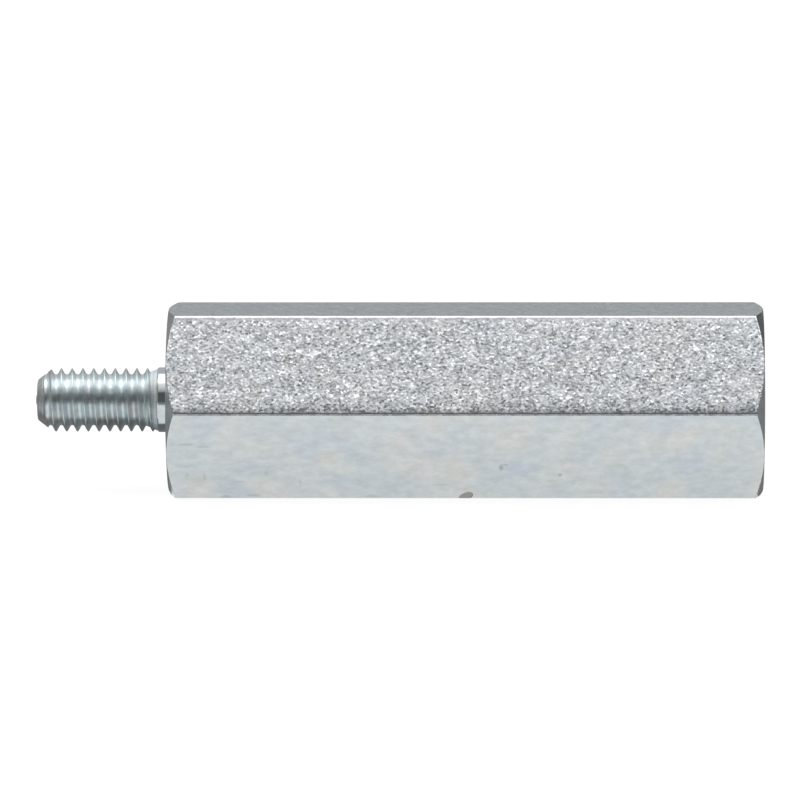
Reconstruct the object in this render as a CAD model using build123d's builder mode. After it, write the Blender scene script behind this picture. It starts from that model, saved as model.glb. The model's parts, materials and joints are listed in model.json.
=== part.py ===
from build123d import *
from math import radians, sqrt, tan
import os

# Hexagon spacer turned from one length of drawn steel bar, in millimetres.
# The axis runs along X and the bar lies on one of its flats, with +Z up.
# The origin is the centre of the shoulder, the face that seats on a panel.
# The stud points towards -X, and the tapped hole opens in the far end, towards +X.

# Bar
across_flats = 17.0
body_length = 55.0
bar_edge_radius = 0.37       # the drawn bar's long edges are slightly round

# End chamfers, the same at both ends
chamfer_angle = 30.0         # measured from the end face
end_face_inset = 0.05        # radial, by which the round end face stays inside the flats

# Thread size, shared by the stud and the hole
thread_diameter = 6.0
thread_pitch = 1.0
crest_allowance = 0.05       # radial, by which the stud's crests stay under the thread size

# Stud
stud_length = 12.2           # from the shoulder to the rim of the tip
shank_length = 1.0           # plain stretch at full thread diameter, next to the shoulder
tip_chamfer_length = 1.4     # along the axis
tip_chamfer_depth = 1.1      # across it
tip_rim_radius = 0.3         # rounding between the tip's chamfer and its flat end
pip_radius = 0.5             # the pip that parting off leaves in the middle of the end
pip_height = 0.15

# Tapped hole
hole_depth = 15.0            # from the end face to where the drill's point begins
countersink_clearance = 0.3  # radial, by which the mouth is wider than the thread
countersink_angle = 90.0
drill_point_angle = 118.0

# Worked out from the sizes above
corner_radius = across_flats / sqrt(3)
end_face_radius = across_flats / 2 - end_face_inset
chamfer_depth = (corner_radius - end_face_radius) * tan(radians(chamfer_angle))
shank_radius = thread_diameter / 2
crest_radius = shank_radius - crest_allowance
tip_face_radius = crest_radius - tip_chamfer_depth
tap_drill_radius = (thread_diameter - thread_pitch) / 2
countersink_radius = shank_radius + countersink_clearance
drill_point_height = tap_drill_radius / tan(radians(drill_point_angle / 2))

with BuildPart() as spacer:
    # The hexagon bar, lying on a flat
    with BuildSketch(Plane.YZ) as section:
        RegularPolygon(radius=across_flats / 2, side_count=6, major_radius=False)
        fillet(section.vertices(), bar_edge_radius)
    extrude(amount=body_length)

    # Both ends are turned to a cone, which runs out in a curve on each flat
    with BuildSketch(Plane.XZ):
        with BuildLine():
            Polyline(
                (0, 0),
                (0, end_face_radius),
                (chamfer_depth, corner_radius),
                (body_length - chamfer_depth, corner_radius),
                (body_length, end_face_radius),
                (body_length, 0),
                close=True,
            )
        make_face()
    revolve(axis=Axis.X, mode=Mode.INTERSECT)

    # The stud, turned to the crests of its thread, with a chamfered tip and a pip on its end
    tip_rim = (-stud_length, tip_face_radius)
    with BuildSketch(Plane.XZ) as blank:
        with BuildLine():
            Polyline(
                (-stud_length - pip_height, 0),
                (-stud_length - pip_height, pip_radius),
                (-stud_length, pip_radius),
                tip_rim,
                (-stud_length + tip_chamfer_length, crest_radius),
                (-shank_length, crest_radius),
                (-shank_length, shank_radius),
                (0, shank_radius),
                (0, 0),
                close=True,
            )
        make_face()
        fillet(blank.vertices().sort_by_distance(tip_rim)[0], tip_rim_radius)
    revolve(axis=Axis.X)

    # The tapped hole at its tap drill's size, with a countersunk mouth
    with Locations(Plane(origin=(body_length, 0, 0), z_dir=(1, 0, 0))):
        CounterSinkHole(
            radius=tap_drill_radius,
            counter_sink_radius=countersink_radius,
            depth=hole_depth,
            counter_sink_angle=countersink_angle,
        )

    # The cone that the drill's point leaves at the bottom of the hole
    with Locations(Plane(origin=(body_length - hole_depth, 0, 0), z_dir=(-1, 0, 0))):
        Cone(
            bottom_radius=tap_drill_radius,
            top_radius=0,
            height=drill_point_height,
            align=(Align.CENTER, Align.CENTER, Align.MIN),
            mode=Mode.SUBTRACT,
        )

spacer.part.label = "spacer"
os.makedirs("parts", exist_ok=True)
export_step(spacer.part, "parts/spacer.step")
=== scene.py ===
import bmesh
import bpy
import json
from math import asin, atan2, cos, pi, radians, sin, sqrt, tan
from mathutils import Matrix, Vector

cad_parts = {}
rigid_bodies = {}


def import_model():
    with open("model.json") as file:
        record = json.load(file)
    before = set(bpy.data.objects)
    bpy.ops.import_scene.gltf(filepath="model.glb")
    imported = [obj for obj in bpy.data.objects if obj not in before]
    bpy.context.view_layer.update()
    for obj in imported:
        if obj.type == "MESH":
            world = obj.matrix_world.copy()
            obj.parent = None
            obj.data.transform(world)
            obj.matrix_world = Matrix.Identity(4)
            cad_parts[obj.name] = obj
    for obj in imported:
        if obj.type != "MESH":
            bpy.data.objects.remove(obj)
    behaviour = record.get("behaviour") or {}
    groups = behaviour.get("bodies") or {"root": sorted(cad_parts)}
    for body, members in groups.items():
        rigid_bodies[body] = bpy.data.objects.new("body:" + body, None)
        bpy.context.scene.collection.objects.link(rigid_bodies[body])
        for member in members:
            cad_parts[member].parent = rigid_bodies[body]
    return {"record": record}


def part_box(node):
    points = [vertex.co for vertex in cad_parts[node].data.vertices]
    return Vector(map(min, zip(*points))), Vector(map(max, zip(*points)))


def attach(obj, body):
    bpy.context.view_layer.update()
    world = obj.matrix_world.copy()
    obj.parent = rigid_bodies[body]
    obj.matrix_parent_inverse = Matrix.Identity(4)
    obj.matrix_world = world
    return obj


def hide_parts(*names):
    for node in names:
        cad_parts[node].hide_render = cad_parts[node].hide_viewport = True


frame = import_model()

bl_info = {
    "name": "Hexagon Spacer",
    "version": (1, 0, 0),
    "blender": (4, 5, 0),
    "location": "View3D > Sidebar > Spacer",
    "description": "Builds a zinc plated hexagon spacer with a threaded stud and a tapped hole",
    "category": "Add Mesh",
}

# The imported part, in metres, and the name of the piece that replaces it
NODE = "spacer"
BODY = "root"
PIECE = "hexagon_spacer"
BOX_LOW, BOX_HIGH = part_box(NODE)
MOUNTS = {mount["name"]: mount for mount in frame["record"]["mounts"]}
MM = 0.001

# Fineness of the round surfaces
TURNED_STEPS = 192
THREAD_STEPS = 96
CREST_STEPS = 3
RIM_STEPS = 5
EDGE_STEPS = 6

# Points closer than this are merged, cuts are made to this tolerance, and edges that turn by
# more than this angle stay sharp
MERGE_DISTANCE = 0.001 * MM
CUT_TOLERANCE = 1e-9
SHARP_ABOVE = radians(28.0)

# Half the angle from one flat of the hexagon to the next, and the cosine from which two
# directions count as the same
HEXAGON_TURN = radians(30.0)
SAME_WAY = 0.99

# Marks on the lower front flat, in millimetres: place along the bar and height of their
# middle, half their length and height, their depth, and how dark they are from 0 to 1
MARKS = (
    (5.4, -8.35, 0.80, 0.22, 0.05, 0.40),
    (30.80, -5.35, 0.30, 0.46, 0.08, 0.62),
    (31.20, -5.08, 0.45, 0.18, 0.05, 0.40),
    (36.2, -6.1, 0.28, 0.26, 0.06, 0.50),
    (35.3, -6.7, 0.60, 0.30, 0.02, 0.16),
    (41.8, -6.1, 1.10, 0.55, 0.02, 0.12),
    (25.3, -7.1, 1.30, 0.14, 0.02, 0.22),
    (7.9, -8.15, 0.90, 0.22, 0.03, 0.30),
    (18.8, -8.25, 1.20, 0.20, 0.03, 0.25),
    (1.9, -3.0, 1.00, 0.17, 0.02, 0.35),
    (3.4, -3.25, 1.00, 0.17, 0.02, 0.30),
    (3.5, -6.3, 0.22, 0.55, 0.02, 0.30),
    (1.9, -6.1, 0.24, 0.35, 0.02, 0.25),
    (6.6, -6.8, 0.80, 0.20, 0.02, 0.25),
    (9.2, -5.9, 0.35, 0.55, 0.02, 0.22),
    (12.3, -6.8, 0.18, 0.60, 0.02, 0.22),
)

# The one deep nick, in the lower front edge, in millimetres: place along the bar, height,
# and half its length, half its width and its depth, and its slant in degrees
NICK_ALONG = 27.55
NICK_HEIGHT = -8.27
NICK_REACH = (0.72, 0.42, 0.18)
NICK_SLANT = 28.0

# The floor, in metres. A strip of it glows only in the spacer's metal, as a painted reflection
# of a lit floor in front of the spacer. Elsewhere the metal sees the floor's least glow, which
# is painted shade beneath and behind the spacer. The strip goes from dark to glowing between
# these two Y, fades out again until this many times its depth, and beyond it the floor keeps
# its least glow
FLOOR_SIZE = 6.0
FLOOR_COLOUR = (0.12, 0.12, 0.12, 1.0)
PAINTED_SHADE_GLOW = 0.14
PAINTED_REFLECTION_NEAR_EDGE = (-2.5 * MM, -3.0 * MM)
PAINTED_REFLECTION_FAR_FADE = 1.2

# The softbox and the dark cards, in metres. A card has a name, a place, a turn about the
# vertical in radians, and a width and height
SOFTBOX_PLACE = (0.02, 0.043, 0.95)
SOFTBOX_SIZE = (2.4, 0.74)
CARD_COLOUR = (0.24, 0.255, 0.265, 1.0)
CARDS = (
    ("front_card", (0.0, -1.3, 0.46), 0.0, (5.0, 0.92)),
    ("side_card", (0.95, 1.2, 0.22), -0.67, (0.9, 0.5)),
)

# Where the studio gets lighter, in degrees above the horizon, and the Y part of a direction
# over which its front turns into its back
FRONT_RISE = (32.0, 72.0)
BACK_RISE = (-5.0, 30.0)
FRONT_TO_BACK = (-0.2, 0.4)

# The camera's aim from the middle of the spacer and its sensor, in millimetres, and the
# distances that it can see, in metres
CAMERA_AIM = (0.07, 0.0, -0.024)
SENSOR_WIDTH = 36.0
CLIP_RANGE = (0.05, 20.0)


def length(name, description, default):
    """A length in the sidebar."""
    return bpy.props.FloatProperty(
        name=name,
        description=description,
        default=default,
        min=0.0,
        subtype="DISTANCE",
        unit="LENGTH",
    )


def angle(name, description, default):
    """An angle in the sidebar."""
    return bpy.props.FloatProperty(
        name=name,
        description=description,
        default=default,
        subtype="ANGLE",
        unit="ROTATION",
    )


def amount(name, description, default):
    """A brightness, a share or a slope in the sidebar."""
    return bpy.props.FloatProperty(name=name, description=description, default=default)


def colour(name, description, default):
    """A colour in the sidebar."""
    return bpy.props.FloatVectorProperty(
        name=name,
        description=description,
        default=default,
        subtype="COLOR",
        min=0.0,
        max=1.0,
    )


class SpacerSizes(bpy.types.PropertyGroup):
    """Sizes of the hexagon, the stud and the hole"""

    across_flats: length(
        "Across Flats", "Width of the hexagon from flat to flat", BOX_HIGH.z - BOX_LOW.z
    )
    body_length: length(
        "Body Length", "Length of the hexagon from shoulder to end face", BOX_HIGH.x
    )
    edge_radius: length(
        "Edge Radius", "Rounding of the drawn bar's six long edges", 0.37 * MM
    )
    chamfer_angle: angle(
        "End Chamfer", "Angle of both end chamfers from the end face", radians(30.0)
    )
    end_face_inset: length(
        "End Face Inset", "How far the round end face stays inside the flats", 0.05 * MM
    )
    thread_radius: length(
        "Thread Radius",
        "Nominal radius of the thread on the stud and in the hole",
        MOUNTS["stud"]["dims"]["r_mm"] * MM,
    )
    thread_pitch: length(
        "Thread Pitch", "Distance from one thread crest to the next", 1.0 * MM
    )
    crest_allowance: length(
        "Crest Allowance", "How far the stud's crests stay under the nominal radius", 0.05 * MM
    )
    stud_reach: length(
        "Stud Reach", "Length of the stud from the shoulder to the pip on its end", -BOX_LOW.x
    )
    shank_length: length(
        "Plain Shank", "Plain stretch of the stud next to the shoulder", 1.0 * MM
    )
    run_out: length(
        "Thread Run-out", "Stretch over which the thread groove fades out", 1.30 * MM
    )
    hole_depth: length(
        "Hole Depth", "Depth of the drilled hole, without the drill's point", 15.0 * MM
    )
    tapped_depth: length("Tapped Depth", "Depth of the thread in the hole", 12.0 * MM)


class SpacerFinish(bpy.types.PropertyGroup):
    """Colour and surface of the zinc plating"""

    zinc_colour: colour("Zinc", "Colour of the bright plating", (0.602, 0.620, 0.639))
    thread_colour: colour(
        "Thread", "Colour of the plating on the thread", (0.690, 0.762, 0.777)
    )
    tip_colour: colour("Tip", "Colour of the cut tip of the stud", (0.345, 0.34, 0.335))
    blue_bloom: colour(
        "Blue Bloom", "Bluish tint of the passivation", (0.558, 0.596, 0.645)
    )
    warm_bloom: colour(
        "Warm Bloom", "Pinkish and yellowish tint of the passivation", (0.648, 0.636, 0.624)
    )
    mark_colour: colour(
        "Marks", "Colour at the bottom of dents and scratches", (0.32, 0.31, 0.31)
    )
    facet_size: length(
        "Facet Size", "Width of one facet of the drawn flats' grain", 0.21 * MM
    )
    facet_tilt: amount("Facet Tilt", "How far the facets lean at most, as a slope", 0.22)
    wave_size: length(
        "Wave Size", "Width of the shallow waves between the facets", 0.24 * MM
    )
    wave_depth: length("Wave Depth", "Depth of the shallow waves", 0.030 * MM)


class SpacerStage(bpy.types.PropertyGroup):
    """Camera, floor and light"""

    camera_azimuth: angle(
        "Camera Azimuth", "Turn of the camera towards the tapped end", radians(1.05)
    )
    camera_elevation: angle(
        "Camera Elevation", "Height of the camera above the horizon", radians(8.2)
    )
    camera_roll: angle(
        "Camera Roll",
        "Turn of the camera about its line of sight, which levels the long edges",
        radians(-0.15),
    )
    camera_distance: length(
        "Camera Distance", "Distance of the camera from the middle of the spacer", 0.720
    )
    lens: amount("Lens", "Focal length of the camera's lens, in millimetres", 349.4)
    softbox: amount("Softbox", "Brightness of the overhead softbox's surface", 1.48)
    low_surround: amount(
        "Surround at the Horizon", "Brightness of the studio's walls", 0.27
    )
    high_surround: amount(
        "Surround Overhead",
        "Brightness of the studio's ceiling behind the spacer, before its tint",
        0.90,
    )
    front_surround: amount(
        "Surround in Front",
        "Brightness beside the softbox in front of the spacer, where it is greatest",
        1.27,
    )
    back_surround: colour(
        "Surround Behind",
        "Tint of the studio behind the spacer, as a share of the front's white",
        (0.69, 0.725, 0.73),
    )
    floor_glow: amount("Floor Glow", "Share of the floor's white that needs no lamp", 0.93)
    # The painted reflection: colour and brightness, edge slope and depth of the glowing strip of
    # floor that only the metal shows, standing in for a lit floor in front of the spacer
    painted_reflection_colour: colour(
        "Painted Reflection Colour",
        "Colour and brightness of the painted reflection of the floor in the metal",
        (0.872, 0.910, 0.902),
    )
    painted_reflection_turn: amount(
        "Painted Reflection Turn", "Slope of the painted reflection strip's edge against the spacer", 0.02
    )
    painted_reflection_depth: length(
        "Painted Reflection",
        "How far in front of the spacer the floor's glow shows in the metal",
        45.0 * MM,
    )


def deselect_all():
    """Leaves nothing selected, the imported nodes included."""
    for item in bpy.context.view_layer.objects:
        item.select_set(False)


def make_active(item):
    """Selects one object alone."""
    deselect_all()
    item.select_set(True)
    bpy.context.view_layer.objects.active = item


def added(name):
    """Names the object that a primitive has just added."""
    item = bpy.context.active_object
    item.name = name
    item.data.name = name
    return item


def apply_modifier(item, modifier):
    """Applies one modifier to its object."""
    make_active(item)
    bpy.ops.object.modifier_apply(modifier=modifier.name)


def close_up(item):
    """Merges what coincides and points every face outwards."""
    make_active(item)
    bpy.ops.object.mode_set(mode="EDIT")
    bpy.ops.mesh.select_all(action="SELECT")
    bpy.ops.mesh.remove_doubles(threshold=MERGE_DISTANCE)
    bpy.ops.mesh.normals_make_consistent(inside=False)
    bpy.ops.object.mode_set(mode="OBJECT")


def painted(item, material):
    """Gives an object one material."""
    item.data.materials.clear()
    item.data.materials.append(material)
    return item


def draw_outline(name, outline):
    """Draws an outline of points, each given along the axis and away from it."""
    points = [Vector((x, 0.0, radius)) for x, radius in outline]
    deselect_all()
    bpy.ops.mesh.primitive_plane_add(size=MM, location=points[0])
    item = added(name)
    bpy.ops.object.transform_apply(location=True, rotation=False, scale=False)
    bpy.ops.object.mode_set(mode="EDIT")
    bpy.ops.mesh.select_mode(type="VERT")
    bpy.ops.mesh.select_all(action="SELECT")
    bpy.ops.mesh.merge(type="CENTER")
    for here, there in zip(points, points[1:]):
        bpy.ops.mesh.extrude_vertices_move(TRANSFORM_OT_translate={"value": there - here})
    bpy.ops.object.mode_set(mode="OBJECT")
    return item


def sweep(item, steps, rounds=1, advance=0.0):
    """Sweeps a drawn outline round the axis, so often and so far along it each time."""
    screw = item.modifiers.new("sweep", "SCREW")
    screw.axis = "X"
    screw.angle = 2 * pi
    screw.steps = screw.render_steps = steps
    screw.iterations = rounds
    screw.screw_offset = advance
    apply_modifier(item, screw)
    close_up(item)


def turn(name, outline, material):
    """Turns an outline about the axis, as a lathe does."""
    item = draw_outline(name, outline)
    sweep(item, TURNED_STEPS)
    return painted(item, material)


def wind_thread(
    name, material, start, end, phase, pitch, crest_radius, crest_round, root_radius, root_round
):
    """Winds a right-hand thread whose round crests and roots meet in straight flanks."""
    drop = (crest_radius - crest_round) - (root_radius + root_round)
    apart = sqrt((pitch / 2) ** 2 + drop**2)
    flank = atan2(drop, pitch / 2) + asin((crest_round + root_round) / apart)
    angles = [flank * step / CREST_STEPS for step in range(CREST_STEPS + 1)]
    half = [(crest_round * sin(a), crest_radius - crest_round * (1 - cos(a))) for a in angles]
    half += [
        (pitch / 2 - root_round * sin(a), root_radius + root_round * (1 - cos(a)))
        for a in reversed(angles)
    ]
    first = start - pitch * 2
    first += (phase - first) % pitch
    profile = [(first + along, radius) for along, radius in half]
    profile += [(first + pitch - along, radius) for along, radius in reversed(half[:-1])]
    item = draw_outline(name, profile)
    sweep(item, THREAD_STEPS, rounds=int((end - first) / pitch) + 2, advance=pitch)
    bpy.ops.object.mode_set(mode="EDIT")
    for cut, outwards in ((start, -1.0), (end, 1.0)):
        bpy.ops.mesh.select_all(action="SELECT")
        bpy.ops.mesh.bisect(
            plane_co=(cut, 0.0, 0.0),
            plane_no=(outwards, 0.0, 0.0),
            clear_outer=True,
            use_fill=True,
            threshold=CUT_TOLERANCE,
        )
    bpy.ops.object.mode_set(mode="OBJECT")
    close_up(item)
    return painted(item, material)


def combine(target, tool, operation):
    """Joins, cuts or intersects the target with a tool, which is then used up."""
    work = target.modifiers.new("work", "BOOLEAN")
    work.operation = operation
    work.solver = "MANIFOLD"
    work.object = tool
    work.material_mode = "TRANSFER"
    apply_modifier(target, work)
    bpy.data.objects.remove(tool)


class Wiring:
    """Adds shader nodes to a tree, and feeds each input from a socket or a plain value."""

    def __init__(self, tree):
        self.nodes = tree.nodes
        self.links = tree.links

    def feed(self, target, source):
        """Links an input to a socket, or sets it."""
        if isinstance(source, bpy.types.NodeSocket):
            self.links.new(source, target)
        else:
            target.default_value = source

    def add(self, kind, inputs=None, **settings):
        """Adds a node and gives its outputs."""
        node = self.nodes.new("ShaderNode" + kind)
        for name, value in settings.items():
            setattr(node, name, value)
        for place, source in (inputs or {}).items():
            self.feed(node.inputs[place], source)
        return node.outputs

    def shared(self, build, inputs):
        """Adds a shared node group, which is built the first time."""
        group = bpy.data.node_groups.get(build.__name__) or build(build.__name__)
        return self.add("Group", inputs, node_tree=group)

    def math(self, operation, *sources, clamp=False):
        """Calculates with numbers."""
        sources = dict(enumerate(sources))
        return self.add("Math", sources, operation=operation, use_clamp=clamp)[0]

    def vector(self, operation, *sources):
        """Calculates with vectors."""
        return self.add("VectorMath", dict(enumerate(sources)), operation=operation)["Vector"]

    def scaled(self, vector, factor):
        """A vector or a colour times a number."""
        return self.add("VectorMath", {0: vector, "Scale": factor}, operation="SCALE")[0]

    def size_of(self, vector):
        """Length of a vector."""
        return self.add("VectorMath", {0: vector}, operation="LENGTH")["Value"]

    def place(self):
        """Position on the object."""
        return self.add("TexCoord")["Object"]

    def parts(self, vector):
        """X, Y and Z of a vector."""
        return self.add("SeparateXYZ", {0: vector})

    def axis_distance(self, place):
        """Distance of a position from the axis."""
        return self.size_of(self.vector("MULTIPLY", place, (0.0, 1.0, 1.0)))

    def ramp(self, value, start, end, low=0.0, high=1.0, shape="LINEAR"):
        """Goes from low to high while a value goes from start to end."""
        return self.add(
            "MapRange",
            {"Value": value, "From Min": start, "From Max": end, "To Min": low, "To Max": high},
            interpolation_type=shape,
        )["Result"]

    def mix(self, factor, first, second):
        """Mixes two colours."""
        inputs = {"Factor": factor, "A": first, "B": second}
        return self.add("Mix", inputs, data_type="RGBA")["Result"]

    def noise(self, place, size, detail, roughness=0.5):
        """Noise whose blotches are about as wide as the size."""
        inputs = {
            "Vector": place,
            "Scale": self.math("DIVIDE", 1.0, size),
            "Detail": detail,
            "Roughness": roughness,
        }
        return self.add("TexNoise", inputs)["Fac"]

    def total(self, heights):
        """Adds up heights."""
        so_far = heights[0]
        for height in heights[1:]:
            so_far = self.math("ADD", so_far, height)
        return so_far


def new_group(name, inputs, outputs):
    """Starts a shader node group with named sockets: gives it, its wiring, inputs and outputs."""
    group = bpy.data.node_groups.new(name, "ShaderNodeTree")
    for label, kind, value in inputs:
        socket = group.interface.new_socket(
            label, in_out="INPUT", socket_type="NodeSocket" + kind
        )
        if value is not None:
            socket.default_value = value
    for label, kind in outputs:
        group.interface.new_socket(label, in_out="OUTPUT", socket_type="NodeSocket" + kind)
    given = group.nodes.new("NodeGroupInput").outputs
    result = group.nodes.new("NodeGroupOutput").inputs
    return group, Wiring(group), given, result


def plating_bloom(name):
    """Cloudy tints of the passivation, from three colours, with fine streaks along the bar."""
    group, wiring, given, result = new_group(
        name,
        [
            ("Zinc", "Color", None),
            ("Blue", "Color", None),
            ("Warm", "Color", None),
            ("Cloud Size", "Float", 2.0 * MM),
            ("Upper Share", "Float", 0.5),
            ("Streak Size", "Float", 0.70 * MM),
            ("Streak Strength", "Float", 0.42),
        ],
        [("Color", "Color")],
    )
    fade_height = 1.0 * MM
    cloud_edge, cloud_core = 0.45, 0.70
    cloud_shifts = {"Blue": 0.1, "Warm": 0.7}
    streak_stretch = (0.6, 1.0, 1.0)
    place = wiring.place()
    height = wiring.parts(place)["Z"]
    strength = wiring.ramp(
        height, -fade_height, fade_height, 1.0, given["Upper Share"], shape="SMOOTHSTEP"
    )
    tinted = given["Zinc"]
    for tint, shift in cloud_shifts.items():
        moved = wiring.vector("ADD", place, (shift, shift, shift))
        cloud = wiring.noise(moved, given["Cloud Size"], detail=2.0)
        shade = wiring.ramp(cloud, cloud_edge, cloud_core, 0.0, strength)
        tinted = wiring.mix(shade, tinted, given[tint])

    stretched = wiring.vector("MULTIPLY", place, streak_stretch)
    streaks = wiring.noise(stretched, given["Streak Size"], detail=3.0, roughness=0.6)
    centred = wiring.math("SUBTRACT", streaks, 0.5)
    level = wiring.math("MULTIPLY_ADD", centred, given["Streak Strength"], 1.0)
    wiring.feed(result["Color"], wiring.scaled(tinted, level))
    return group


def drawn_grain(name):
    """Fine facets of a drawn and plated flat as a normal, and its waves as a height in metres."""
    group, wiring, given, result = new_group(
        name,
        [
            ("Facet Size", "Float", 0.25 * MM),
            ("Facet Tilt", "Float", 0.3),
            ("Wave Size", "Float", 0.3 * MM),
            ("Wave Depth", "Float", 0.04 * MM),
            ("Swell Size", "Float", 1.5 * MM),
            ("Swell Depth", "Float", 0.0),
            ("Width Ratio", "Float", 1.0),
            ("Smooth From", "Float", 9.55 * MM),
            ("Smooth To", "Float", 9.72 * MM),
            ("Edge Grain", "Float", 0.3),
        ],
        [("Normal", "Vector"), ("Height", "Float")],
    )
    place = wiring.place()
    ratio = wiring.add("CombineXYZ", {"X": given["Width Ratio"], "Y": 1.0, "Z": 1.0})[0]
    stretched = wiring.vector("MULTIPLY", place, ratio)
    smooth = wiring.ramp(
        wiring.axis_distance(place),
        given["Smooth From"],
        given["Smooth To"],
        1.0,
        given["Edge Grain"],
    )
    facets = wiring.add(
        "TexVoronoi",
        {"Vector": stretched, "Scale": wiring.math("DIVIDE", 1.0, given["Facet Size"])},
    )["Color"]
    lean = wiring.vector("SUBTRACT", facets, (0.5, 0.5, 0.5))
    tilt = wiring.math("MULTIPLY", given["Facet Tilt"], smooth)
    surface = wiring.add("NewGeometry")["Normal"]
    leant = wiring.vector("ADD", surface, wiring.scaled(lean, tilt))
    wiring.feed(result["Normal"], wiring.vector("NORMALIZE", leant))

    waves = wiring.noise(stretched, given["Wave Size"], detail=0.5)
    swells = wiring.noise(stretched, given["Swell Size"], detail=1.0)
    height = wiring.math("MULTIPLY", waves, given["Wave Depth"])
    faded = wiring.math("MULTIPLY", height, smooth)
    total = wiring.math("MULTIPLY_ADD", swells, given["Swell Depth"], faded)
    wiring.feed(result["Height"], total)
    return group


def rolled_edges(name):
    """Fall-off of the flats towards the long edges and the chamfers, as a height in metres."""
    group, wiring, given, result = new_group(
        name,
        [
            ("Length", "Float", 55.0 * MM),
            ("Across Flats", "Float", 17.0 * MM),
            ("Face Radius", "Float", 8.45 * MM),
            ("Chamfer Slope", "Float", tan(radians(30.0))),
            ("Side Width", "Float", 0.55 * MM),
            ("Side Drop", "Float", 0.03 * MM),
            ("Corner Width", "Float", 1.0 * MM),
            ("Corner Drop", "Float", 0.05 * MM),
            ("End Width", "Float", 0.1 * MM),
            ("End Drop", "Float", 0.05 * MM),
        ],
        [("Height", "Float")],
    )
    place = wiring.place()
    parts = wiring.parts(place)
    from_corner = wiring.math("ABSOLUTE", parts["Z"])
    half = wiring.math("MULTIPLY", given["Across Flats"], 0.5)
    from_side = wiring.math("SUBTRACT", half, from_corner)

    beyond = wiring.math("SUBTRACT", wiring.axis_distance(place), given["Face Radius"])
    cone = wiring.math("MULTIPLY", beyond, given["Chamfer Slope"])
    far = wiring.math("SUBTRACT", given["Length"], parts["X"])
    nearer = wiring.math("MINIMUM", parts["X"], far)
    from_end = wiring.math("SUBTRACT", nearer, cone)

    drops = []
    for distance, edge in ((from_side, "Side"), (from_corner, "Corner"), (from_end, "End")):
        share = wiring.math("DIVIDE", distance, given[edge + " Width"], clamp=True)
        curve = wiring.math("POWER", wiring.math("SUBTRACT", 1.0, share), 2.0)
        drops.append(wiring.math("MULTIPLY", curve, given[edge + " Drop"]))
    wiring.feed(result["Height"], wiring.math("MULTIPLY", wiring.total(drops), -1.0))
    return group


def dented_mark(name):
    """One dent or scratch around a place, as a height in metres and a mask."""
    group, wiring, given, result = new_group(
        name,
        [
            ("Place", "Vector", None),
            ("Reach", "Vector", None),
            ("Depth", "Float", 0.05 * MM),
            ("Darkness", "Float", 0.5),
        ],
        [("Height", "Float"), ("Mask", "Float")],
    )
    rim, bottom = 1.0, 0.3
    offset = wiring.vector("SUBTRACT", wiring.place(), given["Place"])
    far = wiring.size_of(wiring.vector("DIVIDE", offset, given["Reach"]))
    mask = wiring.ramp(far, rim, bottom, shape="SMOOTHSTEP")
    down = wiring.math("MULTIPLY", mask, given["Depth"])
    wiring.feed(result["Height"], wiring.math("MULTIPLY", down, -1.0))
    wiring.feed(result["Mask"], wiring.math("MULTIPLY", mask, given["Darkness"]))
    return group


def tool_marks(name):
    """Fine rings that a lathe tool leaves around the axis, as a height in metres."""
    group, wiring, given, result = new_group(
        name,
        [("Feed", "Float", 0.12 * MM), ("Depth", "Float", 0.002 * MM)],
        [("Height", "Float")],
    )
    place = wiring.place()
    travel = wiring.math("ADD", wiring.axis_distance(place), wiring.parts(place)["X"])
    turns = wiring.math("DIVIDE", travel, given["Feed"])
    rings = wiring.add(
        "TexNoise", {"W": turns, "Scale": 1.0, "Detail": 2.0}, noise_dimensions="1D"
    )["Fac"]
    wiring.feed(result["Height"], wiring.math("MULTIPLY", rings, given["Depth"]))
    return group


def new_metal(name, roughness):
    """Starts a bare metal: gives the material, its wiring and its shader's inputs."""
    material = bpy.data.materials.new(name)
    material.use_nodes = True
    shader = material.node_tree.nodes["Principled BSDF"].inputs
    shader["Metallic"].default_value = 1.0
    shader["Roughness"].default_value = roughness
    return material, Wiring(material.node_tree), shader


def bloomed(wiring, finish, zinc, cloud_size):
    """Colour of the plating with its bloom."""
    return wiring.shared(plating_bloom, {
        "Zinc": (*zinc, 1.0),
        "Blue": (*finish.blue_bloom, 1.0),
        "Warm": (*finish.warm_bloom, 1.0),
        "Cloud Size": cloud_size,
    })["Color"]


def add_bump(wiring, shader, inputs):
    """Feeds a Height in metres, on top of a Normal where there is one, to the shader."""
    bump = wiring.add("Bump", {"Strength": 1.0, "Distance": 1.0, **inputs})
    wiring.feed(shader["Normal"], bump["Normal"])


def flat_reach(across_flats, height):
    """How far the lower side flats reach out from the axis at a height below it."""
    return (across_flats / 2 + height / 2) / cos(HEXAGON_TURN)


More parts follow.
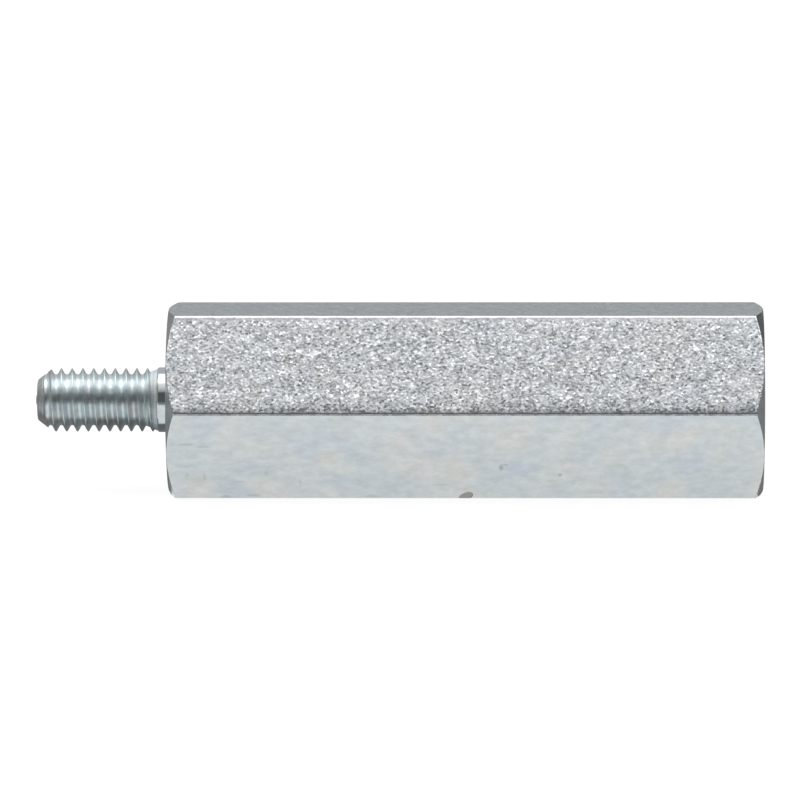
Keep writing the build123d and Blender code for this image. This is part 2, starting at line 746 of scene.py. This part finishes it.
def drawn_flat_material(sizes, finish):
    """Plated flats of the drawn bar, with their grain, rolled edges and marks."""
    material, wiring, shader = new_metal("drawn_zinc", roughness=0.28)
    grain = wiring.shared(drawn_grain, {
        "Facet Size": finish.facet_size,
        "Facet Tilt": finish.facet_tilt,
        "Wave Size": finish.wave_size,
        "Wave Depth": finish.wave_depth,
        "Swell Size": 1.3 * MM,
        "Swell Depth": 0.050 * MM,
        "Width Ratio": 0.95,
    })
    edges = wiring.shared(rolled_edges, {
        "Length": sizes.body_length,
        "Across Flats": sizes.across_flats,
        "Face Radius": sizes.across_flats / 2 - sizes.end_face_inset,
        "Chamfer Slope": tan(sizes.chamfer_angle),
        "Side Width": 0.55 * MM,
        "Side Drop": -0.035 * MM,
        "Corner Width": 1.3 * MM,
        "Corner Drop": 0.07 * MM,
        "End Width": 0.12 * MM,
        "End Drop": 0.05 * MM,
    })
    heights = [grain["Height"], edges["Height"]]
    shade = bloomed(wiring, finish, finish.zinc_colour, cloud_size=4.0 * MM)
    for along, height, long, high, depth, darkness in MARKS:
        below = flat_reach(sizes.across_flats, height * MM)
        mark = wiring.shared(dented_mark, {
            "Place": (along * MM, -below, height * MM),
            "Reach": (long * MM, high * MM, high * MM),
            "Depth": depth * MM,
            "Darkness": darkness,
        })
        heights.append(mark["Height"])
        shade = wiring.mix(mark["Mask"], shade, (*finish.mark_colour, 1.0))
    wiring.feed(shader["Base Color"], shade)
    bump = {"Height": wiring.total(heights), "Normal": grain["Normal"]}
    add_bump(wiring, shader, bump)
    return material


def turned_material(name, finish, zinc, roughness, feed, depth):
    """Plated faces that a lathe tool has cut, with its rings."""
    material, wiring, shader = new_metal(name, roughness)
    shade = bloomed(wiring, finish, zinc, cloud_size=3.0 * MM)
    wiring.feed(shader["Base Color"], shade)
    rings = wiring.shared(tool_marks, {"Feed": feed, "Depth": depth})
    add_bump(wiring, shader, {"Height": rings["Height"]})
    return material


def thread_material(finish):
    """Plated thread, a little bluer than the rest, with highlights drawn out along the axis."""
    material = bpy.data.materials.get("thread_zinc")
    if material is None:
        material, wiring, shader = new_metal("thread_zinc", roughness=0.42)
        shader["Anisotropic"].default_value = 0.68
        shader["Anisotropic Rotation"].default_value = 0.25
        along = wiring.add("Tangent", direction_type="RADIAL", axis="X")[0]
        wiring.feed(shader["Tangent"], along)
        shade = bloomed(wiring, finish, finish.thread_colour, cloud_size=1.5 * MM)
        wiring.feed(shader["Base Color"], shade)
        grain = wiring.shared(
            drawn_grain, {"Wave Size": 0.4 * MM, "Wave Depth": 0.015 * MM}
        )
        add_bump(wiring, shader, {"Height": grain["Height"]})
    return material


def shank_material(finish):
    """Plain shank of the stud, the smoothest surface of the spacer."""
    material, wiring, shader = new_metal("shank_zinc", roughness=0.14)
    shade = bloomed(wiring, finish, finish.zinc_colour, cloud_size=1.5 * MM)
    wiring.feed(shader["Base Color"], shade)
    return material


def nick_material(finish):
    """Bruised metal in the nick, darker than the plating."""
    material, _, shader = new_metal("nick_zinc", roughness=0.28)
    shader["Base Color"].default_value = (*finish.mark_colour, 1.0)
    return material


class SPACER_OT_hexagon_body(bpy.types.Operator):
    """Cuts the hexagon bar to length, turns a chamfer on both ends and nicks an edge"""

    bl_idname = "spacer.hexagon_body"
    bl_label = "Hexagon Body"
    bl_options = {"REGISTER", "UNDO"}

    def execute(self, context):
        sizes = context.scene.spacer_sizes
        finish = context.scene.spacer_finish
        corner_radius = sizes.across_flats / sqrt(3.0)
        end = sizes.body_length
        overrun = 1.0 * MM

        deselect_all()
        bpy.ops.mesh.primitive_cylinder_add(
            vertices=6,
            radius=corner_radius,
            depth=end + 2 * overrun,
            end_fill_type="NGON",
            location=(end / 2, 0.0, 0.0),
            rotation=(0.0, pi / 2, 0.0),
        )
        bar = added(PIECE)
        bpy.ops.object.transform_apply(location=True, rotation=True, scale=True)
        self.face_up(bar)
        self.round_long_edges(bar, sizes.edge_radius)
        painted(bar, drawn_flat_material(sizes, finish))

        face_radius = sizes.across_flats / 2 - sizes.end_face_inset
        outer_radius = corner_radius + overrun
        chamfer_depth = (outer_radius - face_radius) * tan(sizes.chamfer_angle)
        envelope = turn(
            "turned_ends",
            [
                (0.0, 0.0),
                (0.0, face_radius),
                (chamfer_depth, outer_radius),
                (end - chamfer_depth, outer_radius),
                (end, face_radius),
                (end, 0.0),
            ],
            turned_material(
                "turned_zinc",
                finish,
                finish.zinc_colour,
                roughness=0.28,
                feed=0.12 * MM,
                depth=0.003 * MM,
            ),
        )
        combine(bar, envelope, "INTERSECT")
        self.nick_edge(bar, sizes, finish)
        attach(bar, BODY)
        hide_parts(NODE)
        return {"FINISHED"}

    def face_up(self, bar):
        """Turns the bar about its axis until one flat faces up."""
        make_active(bar)
        bpy.ops.object.mode_set(mode="EDIT")
        bpy.ops.mesh.select_all(action="SELECT")
        mesh = bmesh.from_edit_mesh(bar.data)
        if max(face.normal.z for face in mesh.faces) < SAME_WAY:
            bpy.ops.transform.rotate(
                value=HEXAGON_TURN,
                orient_axis="X",
                center_override=(0.0, 0.0, 0.0),
            )
        bpy.ops.object.mode_set(mode="OBJECT")

    def round_long_edges(self, bar, radius):
        """Rounds the six edges that run along the bar."""
        make_active(bar)
        bpy.ops.object.mode_set(mode="EDIT")
        bpy.ops.mesh.select_mode(type="EDGE")
        bpy.ops.mesh.select_all(action="DESELECT")
        mesh = bmesh.from_edit_mesh(bar.data)
        for edge in mesh.edges:
            along = (edge.verts[1].co - edge.verts[0].co).normalized()
            edge.select_set(abs(along.x) > SAME_WAY)
        bmesh.update_edit_mesh(bar.data)
        bpy.ops.mesh.bevel(
            offset=radius * tan(HEXAGON_TURN),
            segments=EDGE_STEPS,
            profile=0.5,
            affect="EDGES",
        )
        bpy.ops.object.mode_set(mode="OBJECT")

    def nick_edge(self, bar, sizes, finish):
        """Presses the one deep nick into the lower front edge."""
        height = NICK_HEIGHT * MM
        place = Vector((NICK_ALONG * MM, -flat_reach(sizes.across_flats, height), height))
        flat_lean = 4 * HEXAGON_TURN
        deselect_all()
        bpy.ops.mesh.primitive_uv_sphere_add(segments=32, ring_count=16, radius=1.0)
        nick = added("edge_nick")
        nick.matrix_world = (
            Matrix.Translation(place)
            @ Matrix.Rotation(flat_lean, 4, "X")
            @ Matrix.Rotation(radians(NICK_SLANT), 4, "Z")
            @ Matrix.Diagonal((*[reach * MM for reach in NICK_REACH], 1.0))
        )
        bpy.ops.object.transform_apply(location=True, rotation=True, scale=True)
        combine(bar, painted(nick, nick_material(finish)), "DIFFERENCE")


class SPACER_OT_threaded_stud(bpy.types.Operator):
    """Winds the stud's thread, turns its tip and joins it to the shoulder"""

    bl_idname = "spacer.threaded_stud"
    bl_label = "Threaded Stud"
    bl_options = {"REGISTER", "UNDO"}

    def execute(self, context):
        sizes = context.scene.spacer_sizes
        finish = context.scene.spacer_finish
        body = bpy.data.objects[PIECE]
        thread_depth = 0.645 * sizes.thread_pitch
        overrun = 1.0 * MM
        crest_radius = sizes.thread_radius - sizes.crest_allowance
        root_radius = sizes.thread_radius - thread_depth

        # The stud's tools end at different depths inside the bar, so no two faces coincide
        shank_inside = 0.5 * MM
        thread_inside = 0.4 * MM
        tip_inside = 0.3 * MM
        stud = wind_thread(
            "stud_thread",
            thread_material(finish),
            start=-sizes.stud_reach - overrun,
            end=thread_inside,
            phase=0.0,
            pitch=sizes.thread_pitch,
            crest_radius=crest_radius,
            crest_round=0.05 * MM,
            root_radius=root_radius,
            root_round=0.24 * MM,
        )
        tip = turn(
            "stud_tip",
            self.tip_outline(sizes, crest_radius, tip_inside),
            turned_material(
                "tip_zinc",
                finish,
                finish.tip_colour,
                roughness=0.50,
                feed=0.60 * MM,
                depth=0.16 * MM,
            ),
        )
        combine(stud, tip, "INTERSECT")
        combine(stud, self.run_out(sizes, finish, root_radius), "UNION")
        combine(stud, self.shank(sizes, finish, shank_inside), "UNION")
        combine(body, stud, "UNION")
        return {"FINISHED"}

    def tip_outline(self, sizes, crest_radius, inside):
        """Outline of the blank: a flat end with the pip left by parting off, rim and chamfer."""
        pip_height = 0.15 * MM
        pip_radius = 0.5 * MM
        pip_top_inset = 0.12 * MM
        pip_foot = 0.05 * MM
        rim_round = 0.3 * MM
        chamfer_depth = 1.1 * MM
        chamfer_length = 1.4 * MM
        clearance = 0.3 * MM
        end = -sizes.stud_reach + pip_height
        rim_radius = crest_radius - chamfer_depth
        slope = atan2(chamfer_depth, chamfer_length)
        outline = [
            (end - pip_height, 0.0),
            (end - pip_height, pip_radius - pip_top_inset),
            (end - pip_height / 2, pip_radius),
            (end, pip_radius + pip_foot),
        ]
        cut_back = rim_round * tan((pi / 2 - slope) / 2)
        for step in range(RIM_STEPS + 1):
            round_by = (pi / 2 - slope) * step / RIM_STEPS
            outline.append((
                end + rim_round * (1 - cos(round_by)),
                rim_radius - cut_back + rim_round * sin(round_by),
            ))
        top = crest_radius + clearance
        outline.append((end + (top - rim_radius) / tan(slope), top))
        outline.append((inside, top))
        outline.append((inside, 0.0))
        return outline

    def run_out(self, sizes, finish, root_radius):
        """Cone in which the thread's groove fades out beside the shank."""
        buried = 0.2 * MM
        under_shank = 0.001 * MM
        start = -sizes.shank_length - sizes.run_out - buried
        end = -sizes.shank_length + buried
        return turn(
            "thread_run_out",
            [
                (start, 0.0),
                (start, root_radius - buried / 2),
                (end, sizes.thread_radius - under_shank),
                (end, 0.0),
            ],
            turned_material(
                "run_out_zinc",
                finish,
                finish.thread_colour,
                roughness=0.62,
                feed=0.50 * MM,
                depth=0.30 * MM,
            ),
        )

    def shank(self, sizes, finish, inside):
        """Plain shank next to the shoulder, with its end slightly broken."""
        break_depth = 0.05 * MM
        break_length = 0.08 * MM
        start = -sizes.shank_length
        return turn(
            "stud_shank",
            [
                (start, 0.0),
                (start, sizes.thread_radius - break_depth),
                (start + break_length, sizes.thread_radius),
                (inside, sizes.thread_radius),
                (inside, 0.0),
            ],
            shank_material(finish),
        )


class SPACER_OT_tapped_hole(bpy.types.Operator):
    """Drills, countersinks and taps the hole in the far end"""

    bl_idname = "spacer.tapped_hole"
    bl_label = "Tapped Hole"
    bl_options = {"REGISTER", "UNDO"}

    def execute(self, context):
        sizes = context.scene.spacer_sizes
        material = thread_material(context.scene.spacer_finish)
        body = bpy.data.objects[PIECE]
        drill_point_angle = radians(118.0)
        sink_clearance = 0.3 * MM

        # The hole's tools end at different places outside the bar, so no two faces coincide
        drill_outside = 1.0 * MM
        tap_outside = 0.5 * MM
        lead_outside = 0.4 * MM
        mouth = sizes.body_length
        drill_radius = MOUNTS["tapped_hole"]["dims"]["r_mm"] * MM
        point_height = drill_radius / tan(drill_point_angle / 2)
        sink_radius = sizes.thread_radius + sink_clearance
        sink_depth = sink_radius - drill_radius

        drill = turn(
            "hole_drill",
            [
                (mouth - sizes.hole_depth - point_height, 0.0),
                (mouth - sizes.hole_depth, drill_radius),
                (mouth - sink_depth, drill_radius),
                (mouth + drill_outside, sink_radius + drill_outside),
                (mouth + drill_outside, 0.0),
            ],
            material,
        )
        tap_end = mouth - sizes.tapped_depth
        overrun = 1.0 * MM
        tap = wind_thread(
            "hole_tap",
            material,
            start=tap_end - overrun,
            end=mouth + tap_outside,
            phase=mouth,
            pitch=sizes.thread_pitch,
            crest_radius=sizes.thread_radius + 0.03 * MM,
            crest_round=0.07 * MM,
            root_radius=drill_radius - 0.05 * MM,
            root_round=0.15 * MM,
        )
        lead_clearance = 0.2 * MM
        lead_start = tap_end - 0.5 * MM
        lead_end = tap_end + 1.5 * MM
        lead = turn(
            "tap_lead",
            [
                (lead_start, 0.0),
                (lead_start, drill_radius - lead_clearance),
                (lead_end, sizes.thread_radius + lead_clearance),
                (mouth + lead_outside, sizes.thread_radius + lead_clearance),
                (mouth + lead_outside, 0.0),
            ],
            material,
        )
        combine(tap, lead, "INTERSECT")
        combine(body, drill, "DIFFERENCE")
        combine(body, tap, "DIFFERENCE")
        return {"FINISHED"}


class SPACER_OT_surface(bpy.types.Operator):
    """Finishes the spacer's mesh and its shading"""

    bl_idname = "spacer.surface"
    bl_label = "Edges and Shading"
    bl_options = {"REGISTER", "UNDO"}

    def execute(self, context):
        close_up(bpy.data.objects[PIECE])
        bpy.ops.object.shade_smooth_by_angle(angle=SHARP_ABOVE)
        return {"FINISHED"}


class SPACER_OT_stage(bpy.types.Operator):
    """Sets the floor, the light and the camera"""

    bl_idname = "spacer.stage"
    bl_label = "Stage"
    bl_options = {"REGISTER", "UNDO"}

    def execute(self, context):
        stage = context.scene.spacer_stage
        self.lay_floor(stage)
        self.hang_softbox(stage)
        self.stand_dark_cards()
        self.light_world(context, stage)
        self.set_camera(context, stage)
        context.scene.view_settings.view_transform = "Standard"
        return {"FINISHED"}

    def lay_floor(self, stage):
        """A large pale floor that shows white and keeps the shadow. In the metal it shows a
        glowing strip in front of the spacer, a painted reflection, and painted shade beneath and
        behind it.
        """
        deselect_all()
        bpy.ops.mesh.primitive_plane_add(size=FLOOR_SIZE, location=(0.0, 0.0, BOX_LOW.z))
        floor = added("floor")
        material = bpy.data.materials.new("pale_floor")
        material.use_nodes = True
        wiring = Wiring(material.node_tree)
        wiring.nodes.clear()

        # Mask of the painted reflection: a strip of floor in front of the spacer glows in the
        # metal, and beneath and behind the spacer the metal sees painted shade at the least glow
        parts = wiring.parts(wiring.place())
        turned = wiring.math("MULTIPLY_ADD", parts["X"], stage.painted_reflection_turn, parts["Y"])
        far_edge = (-PAINTED_REFLECTION_FAR_FADE * stage.painted_reflection_depth, -stage.painted_reflection_depth)
        strip = [
            wiring.ramp(turned, dark, lit, shape="SMOOTHSTEP")
            for dark, lit in (PAINTED_REFLECTION_NEAR_EDGE, far_edge)
        ]
        painted_reflection_mask = wiring.math("MAXIMUM", wiring.math("MULTIPLY", *strip), PAINTED_SHADE_GLOW)

        path = wiring.add("LightPath")
        mirrored = wiring.math("MAXIMUM", path["Is Glossy Ray"], path["Is Transmission Ray"])
        painted_reflection_strength = wiring.math("MULTIPLY", mirrored, painted_reflection_mask)
        # The glow is an even white to the camera, and in the metal it is the tinted painted
        # reflection and painted shade
        glow = wiring.add("Emission", {
            "Strength": wiring.math("MAXIMUM", path["Is Camera Ray"], painted_reflection_strength),
            "Color": wiring.mix(
                path["Is Camera Ray"],
                (*stage.painted_reflection_colour, 1.0),
                (*[stage.floor_glow] * 3, 1.0),
            ),
        })[0]
        matt = wiring.add("BsdfDiffuse", {"Color": FLOOR_COLOUR})[0]
        both = wiring.add("AddShader", {0: matt, 1: glow})[0]
        wiring.add("OutputMaterial", {"Surface": both})
        painted(floor, material)

    def hang_softbox(self, stage):
        """A wide softbox straight above the spacer."""
        deselect_all()
        bpy.ops.object.light_add(type="AREA", location=SOFTBOX_PLACE)
        lamp = bpy.context.active_object
        lamp.name = "softbox"
        lamp.data.shape = "RECTANGLE"
        lamp.data.size, lamp.data.size_y = SOFTBOX_SIZE
        area = lamp.data.size * lamp.data.size_y
        lamp.data.energy = stage.softbox * pi * area
        lamp.visible_camera = False

    def stand_dark_cards(self):
        """Dark cards outside the picture, which the stud, the edges and a chamfer reflect."""
        material = bpy.data.materials.new("dark_felt")
        material.use_nodes = True
        shader = material.node_tree.nodes["Principled BSDF"].inputs
        shader["Base Color"].default_value = CARD_COLOUR
        shader["Roughness"].default_value = 1.0
        for name, place, turned, size in CARDS:
            deselect_all()
            bpy.ops.mesh.primitive_plane_add(
                size=1.0, location=place, rotation=(pi / 2, 0.0, turned)
            )
            card = painted(added(name), material)
            card.scale = (*size, 1.0)
            card.visible_camera = False

    def light_world(self, context, stage):
        """A grey studio that gets lighter towards its ceiling, most of all in front."""
        world = bpy.data.worlds.new("studio")
        context.scene.world = world
        world.use_nodes = True
        wiring = Wiring(world.node_tree)
        parts = wiring.parts(wiring.add("TexCoord")["Generated"])
        front, back = [
            wiring.ramp(
                parts["Z"],
                sin(radians(bottom)),
                sin(radians(top)),
                stage.low_surround,
                brightest,
                shape,
            )
            for (bottom, top), brightest, shape in (
                (FRONT_RISE, stage.front_surround, "LINEAR"),
                (BACK_RISE, stage.high_surround, "SMOOTHSTEP"),
            )
        ]
        tinted = wiring.scaled(stage.back_surround, back)
        behind = wiring.ramp(parts["Y"], *FRONT_TO_BACK)
        surround = wiring.mix(behind, front, tinted)
        wiring.feed(world.node_tree.nodes["Background"].inputs["Color"], surround)

    def set_camera(self, context, stage):
        """Stands the camera where the photograph was taken from."""
        aim = (BOX_LOW + BOX_HIGH) / 2 + Vector(CAMERA_AIM) * MM
        tilt = Matrix.Rotation(pi / 2 - stage.camera_elevation, 3, "X")
        turn_round = Matrix.Rotation(stage.camera_azimuth, 3, "Z")
        roll = Matrix.Rotation(stage.camera_roll, 3, "Z")
        pose = turn_round @ tilt @ roll
        deselect_all()
        bpy.ops.object.camera_add(
            location=aim + pose @ Vector((0.0, 0.0, stage.camera_distance)),
            rotation=pose.to_euler(),
        )
        camera = bpy.context.active_object
        camera.name = "camera"
        camera.data.lens = stage.lens
        camera.data.sensor_width = SENSOR_WIDTH
        camera.data.clip_start, camera.data.clip_end = CLIP_RANGE
        context.scene.camera = camera


class SPACER_PT_sidebar(bpy.types.Panel):
    """Buttons and sizes of the spacer"""

    bl_idname = "SPACER_PT_sidebar"
    bl_label = "Hexagon Spacer"
    bl_space_type = "VIEW_3D"
    bl_region_type = "UI"
    bl_category = "Spacer"

    def draw(self, context):
        layout = self.layout
        for operator in OPERATORS:
            layout.operator(operator.bl_idname)
        for group in (
            context.scene.spacer_sizes,
            context.scene.spacer_finish,
            context.scene.spacer_stage,
        ):
            box = layout.box()
            for name in group.__annotations__:
                box.prop(group, name)


OPERATORS = (
    SPACER_OT_hexagon_body,
    SPACER_OT_threaded_stud,
    SPACER_OT_tapped_hole,
    SPACER_OT_surface,
    SPACER_OT_stage,
)
CLASSES = (SpacerSizes, SpacerFinish, SpacerStage, *OPERATORS, SPACER_PT_sidebar)


def register():
    for entry in CLASSES:
        bpy.utils.register_class(entry)
    bpy.types.Scene.spacer_sizes = bpy.props.PointerProperty(type=SpacerSizes)
    bpy.types.Scene.spacer_finish = bpy.props.PointerProperty(type=SpacerFinish)
    bpy.types.Scene.spacer_stage = bpy.props.PointerProperty(type=SpacerStage)


def unregister():
    del bpy.types.Scene.spacer_stage
    del bpy.types.Scene.spacer_finish
    del bpy.types.Scene.spacer_sizes
    for entry in reversed(CLASSES):
        bpy.utils.unregister_class(entry)


def main():
    register()
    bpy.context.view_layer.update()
    bpy.ops.spacer.hexagon_body()
    bpy.ops.spacer.threaded_stud()
    bpy.ops.spacer.tapped_hole()
    bpy.ops.spacer.surface()
    bpy.ops.spacer.stage()


if __name__ == "__main__":
    main()
